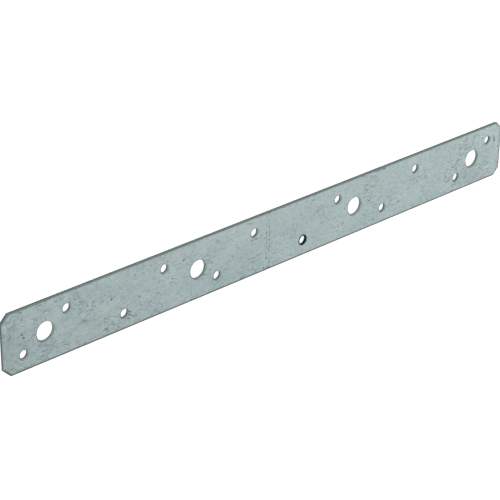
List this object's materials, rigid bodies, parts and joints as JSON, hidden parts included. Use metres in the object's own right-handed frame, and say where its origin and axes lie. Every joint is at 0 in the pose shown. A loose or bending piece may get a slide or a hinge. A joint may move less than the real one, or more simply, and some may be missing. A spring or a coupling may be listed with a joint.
{
  "type": "wall tie",
  "caption": "Flat galvanised steel strap tie with clipped corners, bolt holes on its middle line and staggered rows of nail holes.",
  "frame": {"origin": "middle of the strap's back face, which lies on the surface", "axes": "+X along the strap's length, +Y across its width, +Z out of its front face; the nail hole nearest the -X end is on the -Y side"},
  "size_m": [0.384, 0.036, 0.002],
  "materials": {
    "galvanised_steel": "hot-dip galvanised sheet, satin, handling scuffs"
  },
  "bodies": {
    "root": {"strap": "galvanised_steel"}
  },
  "joints": []
}
